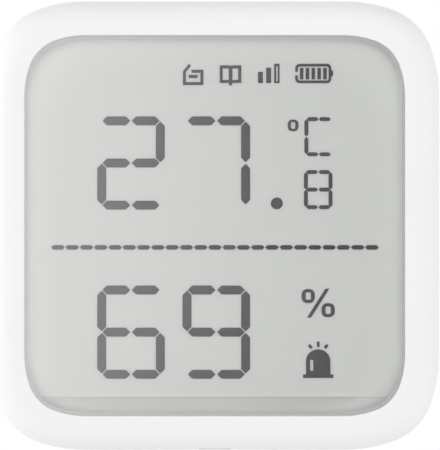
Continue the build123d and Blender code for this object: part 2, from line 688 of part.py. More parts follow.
spring_start = PLUNGER_FLANGE_FRONT + SPRING_WIRE / 2 + 0.02
spring_height = TAMPER_CAVITY_FRONT - PLUNGER_FLANGE_FRONT - SPRING_WIRE - 0.04
with BuildPart() as tamper_spring:
    with BuildLine() as coil:
        Helix(
            pitch=spring_height / SPRING_TURNS,
            height=spring_height,
            radius=SPRING_RADIUS,
            center=(TAMPER_PLACE[0], -spring_start, TAMPER_PLACE[1]),
            direction=(0, -1, 0),
        )
    with BuildSketch(Plane(origin=coil.line @ 0, z_dir=coil.line % 0)):
        Circle(SPRING_WIRE / 2)
    sweep()

# Function switch with its stem, and the button cap that reaches the back
with BuildPart() as function_switch:
    with BuildSketch(at_depth(FUNCTION_SWITCH_REAR)):
        with Locations(BUTTON_PLACE):
            RectangleRounded(FUNCTION_SWITCH_SIDE, FUNCTION_SWITCH_SIDE, 0.4)
    extrude(amount=BOARD_REAR - FUNCTION_SWITCH_REAR)
    with BuildSketch(at_depth(FUNCTION_SWITCH_REAR)):
        with Locations(BUTTON_PLACE):
            Circle(STEM_RADIUS + 0.1)
    extrude(amount=STEM_BORE_FRONT - FUNCTION_SWITCH_REAR, mode=Mode.SUBTRACT)

with BuildPart() as function_stem:
    with BuildSketch(at_depth(BUTTON_FLANGE_FRONT)):
        with Locations(BUTTON_PLACE):
            Circle(STEM_RADIUS)
    extrude(amount=STEM_FRONT - BUTTON_FLANGE_FRONT)

with BuildPart() as function_button:
    with BuildSketch(at_depth(BUTTON_REAR)):
        with Locations(BUTTON_PLACE):
            Circle(BUTTON_RADIUS)
    extrude(amount=BUTTON_FLANGE_REAR - BUTTON_REAR)
    fillet(function_button.edges().sort_by(Axis.Y)[-1], 0.3)
    with BuildSketch(at_depth(BUTTON_FLANGE_REAR)):
        with Locations(BUTTON_PLACE):
            Circle(BUTTON_FLANGE_RADIUS)
    extrude(amount=BUTTON_FLANGE_FRONT - BUTTON_FLANGE_REAR)

# Rear panel: the plate on the wall that the case hooks over and latches on
with BuildPart() as rear_panel:
    with BuildSketch(at_depth(0)):
        add(soft_square(PANEL_HALF))
    extrude(amount=PANEL_FRONT)
    chamfer(rear_panel.faces().sort_by(Axis.Y)[0].edges(), 0.3)
    for x in HOOK_PLACES:
        with BuildSketch(Plane.YZ.offset(x)):
            with BuildLine():
                Polyline(
                    (-PANEL_FRONT + 0.2, HOOK_FOOT),
                    (-TONGUE_FRONT, HOOK_FOOT),
                    (-TONGUE_FRONT, HOOK_TIP),
                    (-TONGUE_REAR, HOOK_TIP),
                    (-TONGUE_REAR, HOOK_STEP),
                    (-PANEL_FRONT + 0.2, HOOK_STEP),
                    close=True,
                )
            make_face()
        extrude(amount=HOOK_WIDTH / 2, both=True)
    with BuildSketch(at_depth(PANEL_FRONT - 0.2)):
        half = LATCH_WIDTH / 2
        add(box_between((-half, LATCH_UNDERSIDE), (half, LATCH_TOP)))
    extrude(amount=LATCH_FRONT - PANEL_FRONT + 0.2)
    chamfer(rear_panel.faces().sort_by(Axis.Y)[0].edges(), 0.4)
    with BuildSketch(at_depth(PANEL_FRONT)):
        with Locations(TAMPER_PLACE):
            Circle(2.2)
    extrude(amount=PAD_BOSS_FRONT - PANEL_FRONT)
    with BuildSketch(at_depth(0)):
        with Locations(*PAD_PLACES):
            RectangleRounded(PAD_LENGTH + 0.4, PAD_HEIGHT + 0.4, 1.2)
    extrude(amount=PAD_DEPTH, mode=Mode.SUBTRACT)
    with BuildSketch(at_depth(0)):
        with GridLocations(RELIEF_PITCH_X, RELIEF_PITCH_Z, 3, 2):
            RectangleRounded(RELIEF_WIDTH, RELIEF_HEIGHT, 1.0)
    extrude(amount=RELIEF_DEPTH, mode=Mode.SUBTRACT)
    with Locations(at_depth(PANEL_FRONT)):
        with Locations(*WALL_SCREW_PLACES):
            CounterSinkHole(
                WALL_HOLE_RADIUS, WALL_SINK_RADIUS, counter_sink_angle=WALL_SINK_ANGLE
            )

with BuildPart() as adhesive_pads:
    with BuildSketch(at_depth(0)):
        with Locations(*PAD_PLACES):
            RectangleRounded(PAD_LENGTH, PAD_HEIGHT, 1.0)
    extrude(amount=PAD_DEPTH)

pieces = {
    "front_case": front_case,
    "window_lens": window_lens,
    "lens_adhesive": lens_adhesive,
    "front_polariser": front_polariser,
    "display_front_glass": display_front_glass,
    "display_rear_glass": display_rear_glass,
    "reflector": reflector,
    "display_edge_seal": display_edge_seal,
    "temperature_digits": temperature_digits,
    "humidity_digits": humidity_digits,
    "divider_dashes": divider_dashes,
    "unit_symbols": unit_symbols,
    "alarm_symbol": alarm_symbol,
    "status_symbols": status_symbols,
    "display_frame": display_frame,
    "elastomer_strip": elastomer_strip,
    "main_board": main_board,
    "microcontroller": microcontroller,
    "crystal": crystal,
    "board_components": board_components,
    "radio_shield": radio_shield,
    "radio_chip": radio_chip,
    "antenna": antenna,
    "humidity_sensor": humidity_sensor,
    "cell_can": cell_can,
    "cell_cap": cell_cap,
    "cell_gasket": cell_gasket,
    "cell_core": cell_core,
    "battery_contact_negative": battery_contact_negative,
    "battery_contact_positive": battery_contact_positive,
    "inner_chassis": inner_chassis,
    "chassis_screws": chassis_screws,
    "tamper_switch": tamper_switch,
    "tamper_plunger": tamper_plunger,
    "tamper_spring": tamper_spring,
    "function_switch": function_switch,
    "function_stem": function_stem,
    "function_button": function_button,
    "rear_panel": rear_panel,
    "adhesive_pads": adhesive_pads,
}

os.makedirs("parts", exist_ok=True)
for label, piece in pieces.items():
    piece.part.label = label
    export_step(piece.part, f"parts/{label}.step")
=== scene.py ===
"""Looks, light and camera for a square wall-hung temperature and humidity sensor.

The scene is in metres in the CAD frame: X to the right, Z up, and the front faces -Y. Sizes in
the classes are in millimetres. A depth is a distance from the wall, so Y is minus the depth.
"""

from __future__ import annotations

import logging
import math
from dataclasses import dataclass
from enum import Enum
from typing import Any

import bmesh
import bpy
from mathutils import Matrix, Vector

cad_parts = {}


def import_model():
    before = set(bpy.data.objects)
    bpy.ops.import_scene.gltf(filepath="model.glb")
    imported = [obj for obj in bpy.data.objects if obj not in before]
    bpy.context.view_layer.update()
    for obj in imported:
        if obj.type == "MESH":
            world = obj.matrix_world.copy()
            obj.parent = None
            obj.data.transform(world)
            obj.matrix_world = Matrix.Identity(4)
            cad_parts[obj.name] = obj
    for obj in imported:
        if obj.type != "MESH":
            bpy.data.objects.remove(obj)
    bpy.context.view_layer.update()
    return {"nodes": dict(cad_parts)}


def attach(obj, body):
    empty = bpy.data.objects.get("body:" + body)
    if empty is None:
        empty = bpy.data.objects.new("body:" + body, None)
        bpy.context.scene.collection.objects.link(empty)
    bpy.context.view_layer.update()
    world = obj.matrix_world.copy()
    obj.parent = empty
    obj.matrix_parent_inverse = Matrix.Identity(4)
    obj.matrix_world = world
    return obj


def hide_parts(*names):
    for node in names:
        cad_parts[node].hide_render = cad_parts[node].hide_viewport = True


MM = 0.001
WINDOW_HALF, WINDOW_WIDE_ARC, WINDOW_TIGHT_ARC = 25.31, 12.15, 5.45
WIDE_ARC_TURN = 20.0
WINDOW_ARC_STEPS = 12
CORNER_STEP = 15
MERGE_DISTANCE = 1e-7
CLEAR_BOUNCES = 24
SIDES = (-1, 1)
UNIT = (0.0, 1.0)
WHITE = (1.0, 1.0, 1.0, 1.0)
Point = tuple[float, float]
Triple = tuple[float, float, float]
Socket = bpy.types.NodeSocket
Tree = bpy.types.NodeTree

log = logging.getLogger("sensor")


class Body(Enum):
    """CAD bodies that a piece may ride on."""

    PANEL = "rear_panel"
    CASE = "case"


class Lay(Enum):
    """Direction that the marks of a metal's making run in."""

    TURNED = "rings round a centre"
    ROLLED = "lines along the sheet"
    DRAWN = "lines along the wire"


# Nodes and meshes


def linear_colour(hex_code: str) -> tuple[float, float, float, float]:
    """Turn an sRGB hex colour into linear red, green, blue and alpha.

    Args:
        hex_code: Colour as RRGGBB.

    Returns:
        The linear colour, with an alpha of 1.
    """
    parts = [int(hex_code[i : i + 2], 16) / 255 for i in (0, 2, 4)]
    red, green, blue = [
        c / 12.92 if c <= 0.04045 else ((c + 0.055) / 1.055) ** 2.4 for c in parts
    ]
    return red, green, blue, 1.0


def add_node(
    tree: Tree, kind: str, inputs: dict[str | int, Any] | None = None, **settings: Any
) -> bpy.types.Node:
    """Add a node to a tree, with its settings, values and links.

    Args:
        tree: Tree that gets the node.
        kind: Type of the node.
        inputs: A value or another node's output for each input, by name or number.
        **settings: Properties of the node itself.

    Returns:
        The new node.
    """
    node = tree.nodes.new(kind)
    for name, value in settings.items():
        setattr(node, name, value)
    for key, value in (inputs or {}).items():
        if isinstance(value, Socket):
            tree.links.new(value, node.inputs[key])
        else:
            node.inputs[key].default_value = value
    return node


def compute(tree: Tree, operation: str, *terms: Socket | float) -> Socket:
    """Add an operation on numbers.

    Args:
        tree: Tree that gets the node.
        operation: What it does, as Blender calls it.
        *terms: What it works on, each a number or another node's output.

    Returns:
        Its result.
    """
    return add_node(tree, "ShaderNodeMath", dict(enumerate(terms)), operation=operation).outputs[0]


def remap(tree: Tree, value: Socket, start: Point = UNIT, end: Point = UNIT) -> Socket:
    """Add a map of a value from one range onto another.

    Args:
        tree: Tree that gets the node.
        value: The value.
        start: Ends of the range that it comes from.
        end: Ends of the range that it goes to.

    Returns:
        The mapped value.
    """
    ends = {"Value": value, 1: start[0], 2: start[1], 3: end[0], 4: end[1]}
    return add_node(tree, "ShaderNodeMapRange", ends).outputs[0]


def mix_colours(tree: Tree, share: Socket, first: str | Socket, second: str | Socket) -> Socket:
    """Add a mix of two colours, each given as RRGGBB or as another node's output.

    Args:
        tree: Tree that gets the node.
        share: Share of the second colour.
        first: The first colour.
        second: The second colour.

    Returns:
        The mixed colour.
    """
    ends = [linear_colour(end) if isinstance(end, str) else end for end in (first, second)]
    mix = {0: share, 6: ends[0], 7: ends[1]}
    return add_node(tree, "ShaderNodeMix", mix, data_type="RGBA").outputs[2]


def add_noise(
    tree: Tree, place: Socket, size: float, detail: float, roughness: float = 0.5
) -> Socket:
    """Add noise that has a real size.

    Args:
        tree: Tree that gets the node.
        place: Place in millimetres.
        size: Size of its largest features in millimetres.
        detail: Number of finer layers.
        roughness: Strength of the finer layers.

    Returns:
        Its value, from 0 to 1.
    """
    look = {"Vector": place, "Scale": 1 / size, "Detail": detail, "Roughness": roughness}
    return add_node(tree, "ShaderNodeTexNoise", look).outputs[0]


def add_relief(tree: Tree, height: Socket, depth: float) -> Socket:
    """Add relief with a depth in millimetres, and give the normal that it leaves."""
    relief = {"Height": height, "Distance": depth * MM}
    return add_node(tree, "ShaderNodeBump", relief).outputs[0]


def add_surface(tree: Tree, inputs: dict[str, Any]) -> Socket:
    """Add a general surface with the inputs that differ from its own, and give its shader."""
    return add_node(tree, "ShaderNodeBsdfPrincipled", inputs).outputs[0]


def add_sight(tree: Tree, light: Socket, shown: Socket) -> Socket:
    """Add a switch between what lights the object and what sight lines meet.

    Args:
        tree: Tree that gets the nodes.
        light: Shader for the rays that light the object.
        shown: Shader for rays from the camera, mirrored or let through ones too.

    Returns:
        The switched shader.
    """
    path = add_node(tree, "ShaderNodeLightPath").outputs
    seen = compute(tree, "MAXIMUM", path["Is Camera Ray"], path["Is Glossy Ray"])
    seen = compute(tree, "MAXIMUM", seen, path["Is Transmission Ray"])
    return add_node(tree, "ShaderNodeMixShader", {0: seen, 1: light, 2: shown}).outputs[0]


def window_outline(half: float) -> list[Point]:
    """Give the window's outline, drawn in evenly to a half width.

    It is a square whose corners are a tight arc between two wide ones.

    Args:
        half: Half of the outline's width.

    Returns:
        The points of the closed outline, as pairs of X and Z.
    """
    inset = WINDOW_HALF - half
    wide, tight = WINDOW_WIDE_ARC - inset, WINDOW_TIGHT_ARC - inset
    turn = math.radians(WIDE_ARC_TURN)
    reach = wide * (math.sin(turn) + 1 - math.cos(turn))
    reach += tight * (math.cos(turn) - math.sin(turn))
    x, z, heading = half - reach, -half, 0.0
    corner = [(x, z)]
    for radius, angle in ((wide, turn), (tight, math.pi / 2 - 2 * turn), (wide, turn)):
        step = angle / WINDOW_ARC_STEPS
        for _ in range(WINDOW_ARC_STEPS):
            chord = 2 * radius * math.sin(step / 2)
            x += chord * math.cos(heading + step / 2)
            z += chord * math.sin(heading + step / 2)
            heading += step
            corner.append((x, z))
    outline = list(corner)
    for _ in range(3):
        corner = [(-z, x) for x, z in corner]
        outline += corner
    return outline


def glass_outline(half: float, bottom: float, corner: float) -> list[Point]:
    """Give the outline of a cut glass plate with its corners taken off.

    Args:
        half: Half of the plate's width.
        bottom: Level of the bottom edge.
        corner: Size of the cut corners. Those at the bottom go with a higher edge.

    Returns:
        The points of the closed outline, as pairs of X and Z.
    """
    inner = half - corner
    low = [(-half, bottom), (half, bottom)]
    if bottom < -inner:
        low = [(-half, bottom + corner), (-inner, bottom), (inner, bottom)]
        low.append((half, bottom + corner))
    return [*low, (half, inner), (inner, half), (-inner, half), (-half, inner)]


def rounded_outline(centre: Point, width: float, height: float, radius: float) -> list[Point]:
    """Give the outline of a level rectangle with rounded corners.

    Args:
        centre: Its middle.
        width: Its size along X.
        height: Its size along Z.
        radius: Radius of its corners.

    Returns:
        The points of the closed outline, as pairs of X and Z.
    """
    points = []
    for quarter, (side, level) in enumerate(((1, 1), (-1, 1), (-1, -1), (1, -1))):
        x = centre[0] + side * (width / 2 - radius)
        z = centre[1] + level * (height / 2 - radius)
        for step in range(90 // CORNER_STEP + 1):
            angle = math.radians(90 * quarter + CORNER_STEP * step)
            points.append((x + radius * math.cos(angle), z + radius * math.sin(angle)))
    return points


def new_piece(name: str, mesh: bpy.types.Mesh) -> bpy.types.Object:
    """Put a mesh into the scene as a piece of its own.

    Args:
        name: Name of the piece.
        mesh: Its mesh, in its place.

    Returns:
        The piece's object, at the origin.
    """
    piece = bpy.data.objects.new(name, mesh)
    bpy.context.scene.collection.objects.link(piece)
    return piece


def point_piece(name: str, places: list[Point], depth: float) -> bpy.types.Object:
    """Put points of one depth into the scene, for a tree to place copies of a shape on.

    Args:
        name: Name of the piece.
        places: X and Z of each point.
        depth: Their depth.

    Returns:
        The piece's object.
    """
    mesh = bpy.data.meshes.new(name)
    mesh.from_pydata([(x * MM, -depth * MM, z * MM) for x, z in places], [], [])
    return new_piece(name, mesh)


def layered_plate(
    name: str, layers: list[tuple[float, list[Point]]], hole: list[Point] | None = None
) -> bpy.types.Object:
    """Build a plate or a ring by joining outlines at rising depths.

    Args:
        name: Name of the piece.
        layers: Depth and outline of each layer, from the wall outwards.
        hole: Outline of the opening, with as many points as the layers have.

    Returns:
        The piece's object.
    """
    shape = bmesh.new()

    def loop(depth: float, outline: list[Point]) -> list[bmesh.types.BMVert]:
        """Add the corners of one outline at a depth."""
        return [shape.verts.new((x * MM, -depth * MM, z * MM)) for x, z in outline]

    def wall(first: list[bmesh.types.BMVert], second: list[bmesh.types.BMVert]) -> None:
        """Join two loops with a band of faces."""
        for i, corner in enumerate(first):
            after = (i + 1) % len(first)
            shape.faces.new((corner, first[after], second[after], second[i]))

    loops = [loop(depth, outline) for depth, outline in layers]
    for rear, front in zip(loops, loops[1:]):
        wall(rear, front)
    if hole is None:
        shape.faces.new(reversed(loops[0]))
        shape.faces.new(loops[-1])
    else:
        inner_rear, inner_front = loop(layers[0][0], hole), loop(layers[-1][0], hole)
        wall(inner_front, inner_rear)
        wall(inner_rear, loops[0])
        wall(loops[-1], inner_front)
    bmesh.ops.remove_doubles(shape, verts=shape.verts, dist=MERGE_DISTANCE)
    bmesh.ops.recalc_face_normals(shape, faces=shape.faces)
    mesh = bpy.data.meshes.new(name)
    shape.to_mesh(mesh)
    shape.free()
    return new_piece(name, mesh)


def cut_plate(
    name: str, half: float, bottom: float, corner: float, rear: float, front: float, ground: float
) -> bpy.types.Object:
    """Build a glass or film plate with cut corners and ground edges.

    Args:
        name: Name of the piece.
        half: Half of the plate's width.
        bottom: Level of its bottom edge.
        corner: Size of its cut corners.
        rear: Depth of its face to the wall.
        front: Depth of its face to the viewer.
        ground: Width of the ground edge all round.

    Returns:
        The piece's object.
    """
    full = glass_outline(half, bottom, corner)
    small = glass_outline(half - ground, bottom + ground, corner)
    layers = [(rear, small), (rear + ground, full), (front - ground, full), (front, small)]
    return layered_plate(name, layers)


def run_tree(piece: bpy.types.Object, tree: Tree, values: dict[str, Any]) -> None:
    """Run a geometry tree on a piece and keep its result as the piece's mesh.

    Args:
        piece: Object whose mesh goes in and is replaced.
        tree: Geometry tree to run.
        values: Value of each named input of the tree.
    """
    modifier = piece.modifiers.new("made", "NODES")
    modifier.node_group = tree
    for item in tree.interface.items_tree:
        if item.name in values:
            modifier[item.identifier] = values[item.name]
    evaluated = piece.evaluated_get(bpy.context.evaluated_depsgraph_get())
    mesh = bpy.data.meshes.new_from_object(evaluated)
    piece.modifiers.clear()
    piece.data = mesh
    mesh.name = piece.name


def new_tree(name: str, inputs: dict[str, str]) -> tuple[Tree, dict[str, Socket]]:
    """Start a geometry tree with named inputs.

    Args:
        name: Name of the tree.
        inputs: Kind of each input after its geometry, by name.

    Returns:
        The tree and its inputs by name.
    """
    tree = bpy.data.node_groups.new(name, "GeometryNodeTree")
    for label, kind in {"Geometry": "Geometry", **inputs}.items():
        tree.interface.new_socket(label, in_out="INPUT", socket_type=f"NodeSocket{kind}")
    tree.interface.new_socket("Geometry", in_out="OUTPUT", socket_type="NodeSocketGeometry")
    given = add_node(tree, "NodeGroupInput").outputs
    return tree, {label: given[label] for label in ("Geometry", *inputs)}


def end_tree(tree: Tree, placed: dict[str, Any], finish: Socket) -> None:
    """End a geometry tree in copies of one shape, as plain faces that have their material.

    Args:
        tree: Tree to end.
        placed: The shape and where its copies go.
        finish: Input that holds the material.
    """
    copies = add_node(tree, "GeometryNodeInstanceOnPoints", placed).outputs[0]
    real = add_node(tree, "GeometryNodeRealizeInstances", {0: copies}).outputs[0]
    painted = add_node(tree, "GeometryNodeSetMaterial", {0: real, "Material": finish})
    add_node(tree, "NodeGroupOutput", {0: painted.outputs[0]})


# Finishes


@dataclass(frozen=True)
class Finish:
    """What a piece is made of and how its surface was made."""

    name: str

    def material(self) -> bpy.types.Material:
        """Give the finish's material, which is made at its first use."""
        made = bpy.data.materials.get(self.name)
        if made is None:
            made = bpy.data.materials.new(self.name)
            made.use_nodes = True
            tree = made.node_tree
            tree.nodes.clear()
            add_node(tree, "ShaderNodeOutputMaterial", {"Surface": self.shade(tree)})
        return made

    def shade(self, tree: Tree) -> Socket:
        """Add the finish's nodes to a tree.

        Args:
            tree: Material's tree.

        Returns:
            The output of its last shader.
        """
        raise NotImplementedError

    def own_millimetres(self, tree: Tree) -> Socket:
        """Add the piece's own coordinates, in millimetres so that patterns have real sizes."""
        place = add_node(tree, "ShaderNodeTexCoord").outputs["Object"]
        scaled = {0: place, 1: (1 / MM, 1 / MM, 1 / MM)}
        return add_node(tree, "ShaderNodeVectorMath", scaled, operation="MULTIPLY").outputs[0]


@dataclass(frozen=True)
class MouldedPlastic(Finish):
    """Injection-moulded plastic, whose grain is the mould's spark-eroded steel.

    The grain is finer than the render shows, so it is drawn coarser. It gives the eye a soft,
    wide highlight. Flow of the melt leaves a faint change of tone over a centimetre or two.
    """

    colour: str = "F3F3F3"
    flow_colour: str = "F0F0F0"
    roughness: float = 0.42
    grain_mm: float = 0.18
    relief_mm: float = 0.003
    ior: float = 1.54
    shine: float = 0.5
    flow_mm: float = 16.0
    gloss_change: float = 0.07

    def shade(self, tree: Tree) -> Socket:
        """Add the plastic's nodes to a tree."""
        place = self.own_millimetres(tree)
        grain = add_noise(tree, place, self.grain_mm, detail=3.0, roughness=0.6)
        flow = add_noise(tree, place, self.flow_mm, detail=1.5)
        gloss = (self.roughness - self.gloss_change, self.roughness + self.gloss_change)
        return add_surface(
            tree,
            {
                "Base Color": mix_colours(tree, flow, self.colour, self.flow_colour),
                "Roughness": remap(tree, grain, end=gloss),
                "IOR": self.ior,
                "Specular IOR Level": self.shine,
                "Normal": add_relief(tree, grain, self.relief_mm),
            },
        )


@dataclass(frozen=True)
class ClearSheet(Finish):
    """Clear sheet of the display: the acrylic lens, the polariser or a glass plate.

    It bends light as its material does, and lets lamps through to what lies behind it. Its faces
    wave by less than a micron over some millimetres, which the eye sees only in what they mirror.
    The polariser and glass are glued together, so they mirror less than they would in air.
    """

    tint: str = "FDFDFD"
    passed: str = "FEFEFE"
    ior: float = 1.49
    wave_mm: float = 7.0
    relief_mm: float = 0.0006
    haze_mm: float = 0.6
    haze: float = 0.01

    def shade(self, tree: Tree) -> Socket:
        """Add the sheet's nodes to a tree."""
        place = self.own_millimetres(tree)
        wave = add_noise(tree, place, self.wave_mm, detail=1.0)
        haze = add_noise(tree, place, self.haze_mm, detail=2.0)
        solid = add_surface(
            tree,
            {
                "Base Color": linear_colour(self.tint),
                "Roughness": remap(tree, haze, end=(0.0, self.haze)),
                "IOR": self.ior,
                "Transmission Weight": 1.0,
                "Normal": add_relief(tree, wave, self.relief_mm),
            },
        )
        through = {0: linear_colour(self.passed)}
        clear = add_node(tree, "ShaderNodeBsdfTransparent", through).outputs[0]
        path = add_node(tree, "ShaderNodeLightPath").outputs
        inner = {0: path["Is Diffuse Ray"], 1: solid, 2: clear}
        lit = add_node(tree, "ShaderNodeMixShader", inner).outputs[0]
        outer = {0: path["Is Shadow Ray"], 1: lit, 2: clear}
        return add_node(tree, "ShaderNodeMixShader", outer).outputs[0]


@dataclass(frozen=True)
class DisplayLayer(Finish):
    """Layer of the liquid crystal cell, or print beside it, seen on the pearly film behind it.

    The film's flakes are about 0.03 mm wide and are drawn coarser. They give the grey ground a
    faint sparkle. A dark figure has the same grain, since it is seen against the same film.
    In the photograph the ground pales towards the rim of the window, and less at the bottom,
    where a ledge lies between; here that paling is painted light, which offsets the shade of
    the window's recess. The rim's outline is a square with soft corners, so the distance from
    its middle is a power mean. The figures are painted paler towards the left: a painted
    reflection of the veil that the lens mirrors there.
    """

    colour: str = "E3E5E2"
    flake_colour: str = "DBDDDA"
    roughness: float = 0.5
    flake_mm: float = 0.16
    painted_rim_light: str = ""
    rim_light_from_mm: float = 18.5
    rim_light_to_mm: float = 24.4
    rim_light_fall: float = 2.5
    corner_power: float = 6.0
    rise_mm: float = 0.75
    painted_veil_colour: str = ""
    painted_veil_from_mm: float = 12.0
    painted_veil_to_mm: float = -21.0
    gloss_change: float = 0.1

    def painted_rim_light_share(self, tree: Tree, parts: list[Socket]) -> Socket:
        """Add the nodes that give how close a place is to the window's rim, for the painted rim
        light.

        Args:
            tree: Node tree that gets the nodes.
            parts: X, Y and Z of a place on the display in millimetres.

        Returns:
            Share from 0 in the middle to 1 at the rim.
        """
        powers = []
        for part, rise in ((parts[0], 0.0), (parts[2], self.rise_mm)):
            size = compute(tree, "ABSOLUTE", compute(tree, "ADD", part, rise))
            size = compute(tree, "ADD", size, -rise)
            powers.append(compute(tree, "POWER", size, self.corner_power))
        reach = compute(tree, "POWER", compute(tree, "ADD", *powers), 1 / self.corner_power)
        share = remap(tree, reach, (self.rim_light_from_mm, self.rim_light_to_mm))
        return compute(tree, "POWER", share, self.rim_light_fall)

    def shade(self, tree: Tree) -> Socket:
        """Add the layer's nodes to a tree."""
        place = self.own_millimetres(tree)
        parts = add_node(tree, "ShaderNodeSeparateXYZ", {0: place}).outputs
        sparkle = add_noise(tree, place, self.flake_mm, detail=2.0, roughness=0.7)
        colour = mix_colours(tree, sparkle, self.colour, self.flake_colour)
        # Painted reflection: the colour pales towards the left, standing in for the veil that the
        # lens mirrors.
        if self.painted_veil_colour:
            painted_veil_share = remap(tree, parts[0], (self.painted_veil_from_mm, self.painted_veil_to_mm))
            colour = mix_colours(tree, painted_veil_share, colour, self.painted_veil_colour)
        # Painted light: the colour pales towards the window's rim, offsetting the shade of the
        # recess.
        if self.painted_rim_light:
            colour = mix_colours(tree, self.painted_rim_light_share(tree, parts), colour, self.painted_rim_light)
        gloss = (self.roughness - self.gloss_change, self.roughness + self.gloss_change)
        return add_surface(
            tree,
            {
                "Base Color": colour,
                "Roughness": remap(tree, sparkle, end=gloss),
                "IOR": 1.5,
                "Specular IOR Level": 0.1,
            },
        )


@dataclass(frozen=True)
class FoamTape(Finish):
    """Closed-cell acrylic foam with glue on both faces.

    Its cells are 0.1 to 0.3 mm and show as fine pits. The glue gives the faces a tacky sheen.
    """

    colour: str = "E4E2DC"
    pit_colour: str = "C9C6BE"
    cell_mm: float = 0.28
    relief_mm: float = 0.03

    def shade(self, tree: Tree) -> Socket:
        """Add the foam's nodes to a tree."""
        look = {"Vector": self.own_millimetres(tree), "Scale": 1 / self.cell_mm}
        cells = add_node(tree, "ShaderNodeTexVoronoi", look).outputs["Distance"]
        return add_surface(
            tree,
            {
                "Base Color": mix_colours(tree, cells, self.pit_colour, self.colour),
                "Roughness": 0.7,
                "IOR": 1.47,
                "Coat Weight": 0.25,
                "Coat Roughness": 0.35,
                "Normal": add_relief(tree, cells, self.relief_mm),
            },
        )


@dataclass(frozen=True)
class WorkedMetal(Finish):
    """Plated or plain metal with the fine marks of its making.

    Turned steel shows rings round its centre, and rolled or drawn metal shows lines along its
    length. The marks are a few hundredths of a millimetre apart and are drawn coarser.
    """

    colour: str = "C9C7C1"
    mark_colour: str = "B4B2AD"
    roughness: float = 0.28
    mark_mm: float = 0.14
    relief_mm: float = 0.002
    lay: Lay = Lay.ROLLED
    centre: Point = (0.0, 0.0)
    along: float = 0.06
    gloss_change: Point = (-0.08, 0.1)

    def shade(self, tree: Tree) -> Socket:
        """Add the metal's nodes to a tree."""
        place = self.own_millimetres(tree)
        if self.lay is Lay.TURNED:
            flat = {0: place, 1: (1.0, 0.0, 1.0)}
            level = add_node(tree, "ShaderNodeVectorMath", flat, operation="MULTIPLY").outputs[0]
            offset = {0: level, 1: (self.centre[0], 0.0, self.centre[1])}
            across = add_node(tree, "ShaderNodeVectorMath", offset, operation="DISTANCE").outputs[1]
            rings = {"W": across, "Scale": 1 / self.mark_mm, "Detail": 2.0}
            marks = add_node(tree, "ShaderNodeTexNoise", rings, noise_dimensions="1D").outputs[0]
        else:
            rolled = self.lay is Lay.ROLLED
            stretch = {0: place, 1: (self.along, 1.0, 1.0) if rolled else (1.0, self.along, 1.0)}
            drawn = add_node(tree, "ShaderNodeVectorMath", stretch, operation="MULTIPLY").outputs[0]
            marks = add_noise(tree, drawn, self.mark_mm, detail=2.0)
        gloss = tuple(self.roughness + change for change in self.gloss_change)
        return add_surface(
            tree,
            {
                "Base Color": mix_colours(tree, marks, self.colour, self.mark_colour),
                "Metallic": 1.0,
                "Roughness": remap(tree, marks, end=gloss),
                "Normal": add_relief(tree, marks, self.relief_mm),
            },
        )


@dataclass(frozen=True)
class SolderMask(Finish):
    """Glass-fibre board under green solder mask.

    Copper tracks 0.3 mm wide show through the mask as lighter, raised lines. The cut edge is
    bare, and shows the straw-coloured glass and resin.
    """

    mask: str = "1F6B45"
    track: str = "2F8358"
    core: str = "B9A872"
    pitch_mm: float = 1.1
    block_mm: float = 5.0
    track_edge: Point = (0.66, 0.72)
    relief_mm: float = 0.035

    def shade(self, tree: Tree) -> Socket:
        """Add the board's nodes to a tree."""
        look = {"Vector": self.own_millimetres(tree), "Scale": 1 / self.block_mm}
        bent = add_node(tree, "ShaderNodeTexVoronoi", look, distance="MANHATTAN")
        rows = compute(tree, "MULTIPLY", bent.outputs["Distance"], self.block_mm / self.pitch_mm)
        tracks = remap(tree, compute(tree, "FRACT", rows), self.track_edge)
        face = mix_colours(tree, tracks, self.mask, self.track)
        normal = add_node(tree, "ShaderNodeTexCoord").outputs["Normal"]
        depth = add_node(tree, "ShaderNodeSeparateXYZ", {0: normal}).outputs[1]
        flat = compute(tree, "ABSOLUTE", depth)
        return add_surface(
            tree,
            {
                "Base Color": mix_colours(tree, flat, self.core, face),
                "Roughness": 0.32,
                "IOR": 1.52,
                "Normal": add_relief(tree, tracks, self.relief_mm),
            },
        )


@dataclass(frozen=True)
class StudioPaper(Finish):
    """Matt white paper under the object.

    Sight lines meet it nearly as white as the background, and its diffuse share keeps the
    object's shadow. Rays that light the object meet it as part paper and part glow, so it
    lights the object from below as a lamp would.
    """

    colour: str = "EEEEEE"
    fibre_colour: str = "E9E9E9"
    fibre_mm: float = 2.5
    white_share: float = 0.86
    glow_share: float = 0.62

    def shade(self, tree: Tree) -> Socket:
        """Add the paper's nodes to a tree."""
        fibres = add_noise(tree, self.own_millimetres(tree), self.fibre_mm, detail=3.0)
        colour = mix_colours(tree, fibres, self.colour, self.fibre_colour)
        plain = add_node(tree, "ShaderNodeBsdfDiffuse", {0: colour}).outputs[0]
        white = add_node(tree, "ShaderNodeEmission", {"Strength": 1.0}).outputs[0]
        glow = {0: self.glow_share, 1: plain, 2: white}
        shown = {0: 1 - self.white_share, 1: white, 2: plain}
        mixed = [add_node(tree, "ShaderNodeMixShader", mix).outputs[0] for mix in (glow, shown)]
        return add_sight(tree, *mixed)


@dataclass(frozen=True)
class GradedCard(Finish):
    """Card in front of the window that shades from white at the left to black at the right.

    Only the window's polished faces mirror it. It gives the soft pale veil over the display.
    The tone falls fast at first and then slowly, as on a wall beside a window.
    """

    strength: float = 1.2
    white_at_mm: float = -30.0
    black_at_mm: float = 19.4
    fall: float = 1.5

    def shade(self, tree: Tree) -> Socket:
        """Add the card's nodes to a tree."""
        place = self.own_millimetres(tree)
        across = add_node(tree, "ShaderNodeSeparateXYZ", {0: place}).outputs[0]
        share = remap(tree, across, (self.white_at_mm, self.black_at_mm), (1.0, 0.0))
        level = compute(tree, "MULTIPLY", compute(tree, "POWER", share, self.fall), self.strength)
        return add_node(tree, "ShaderNodeEmission", {"Strength": level}).outputs[0]


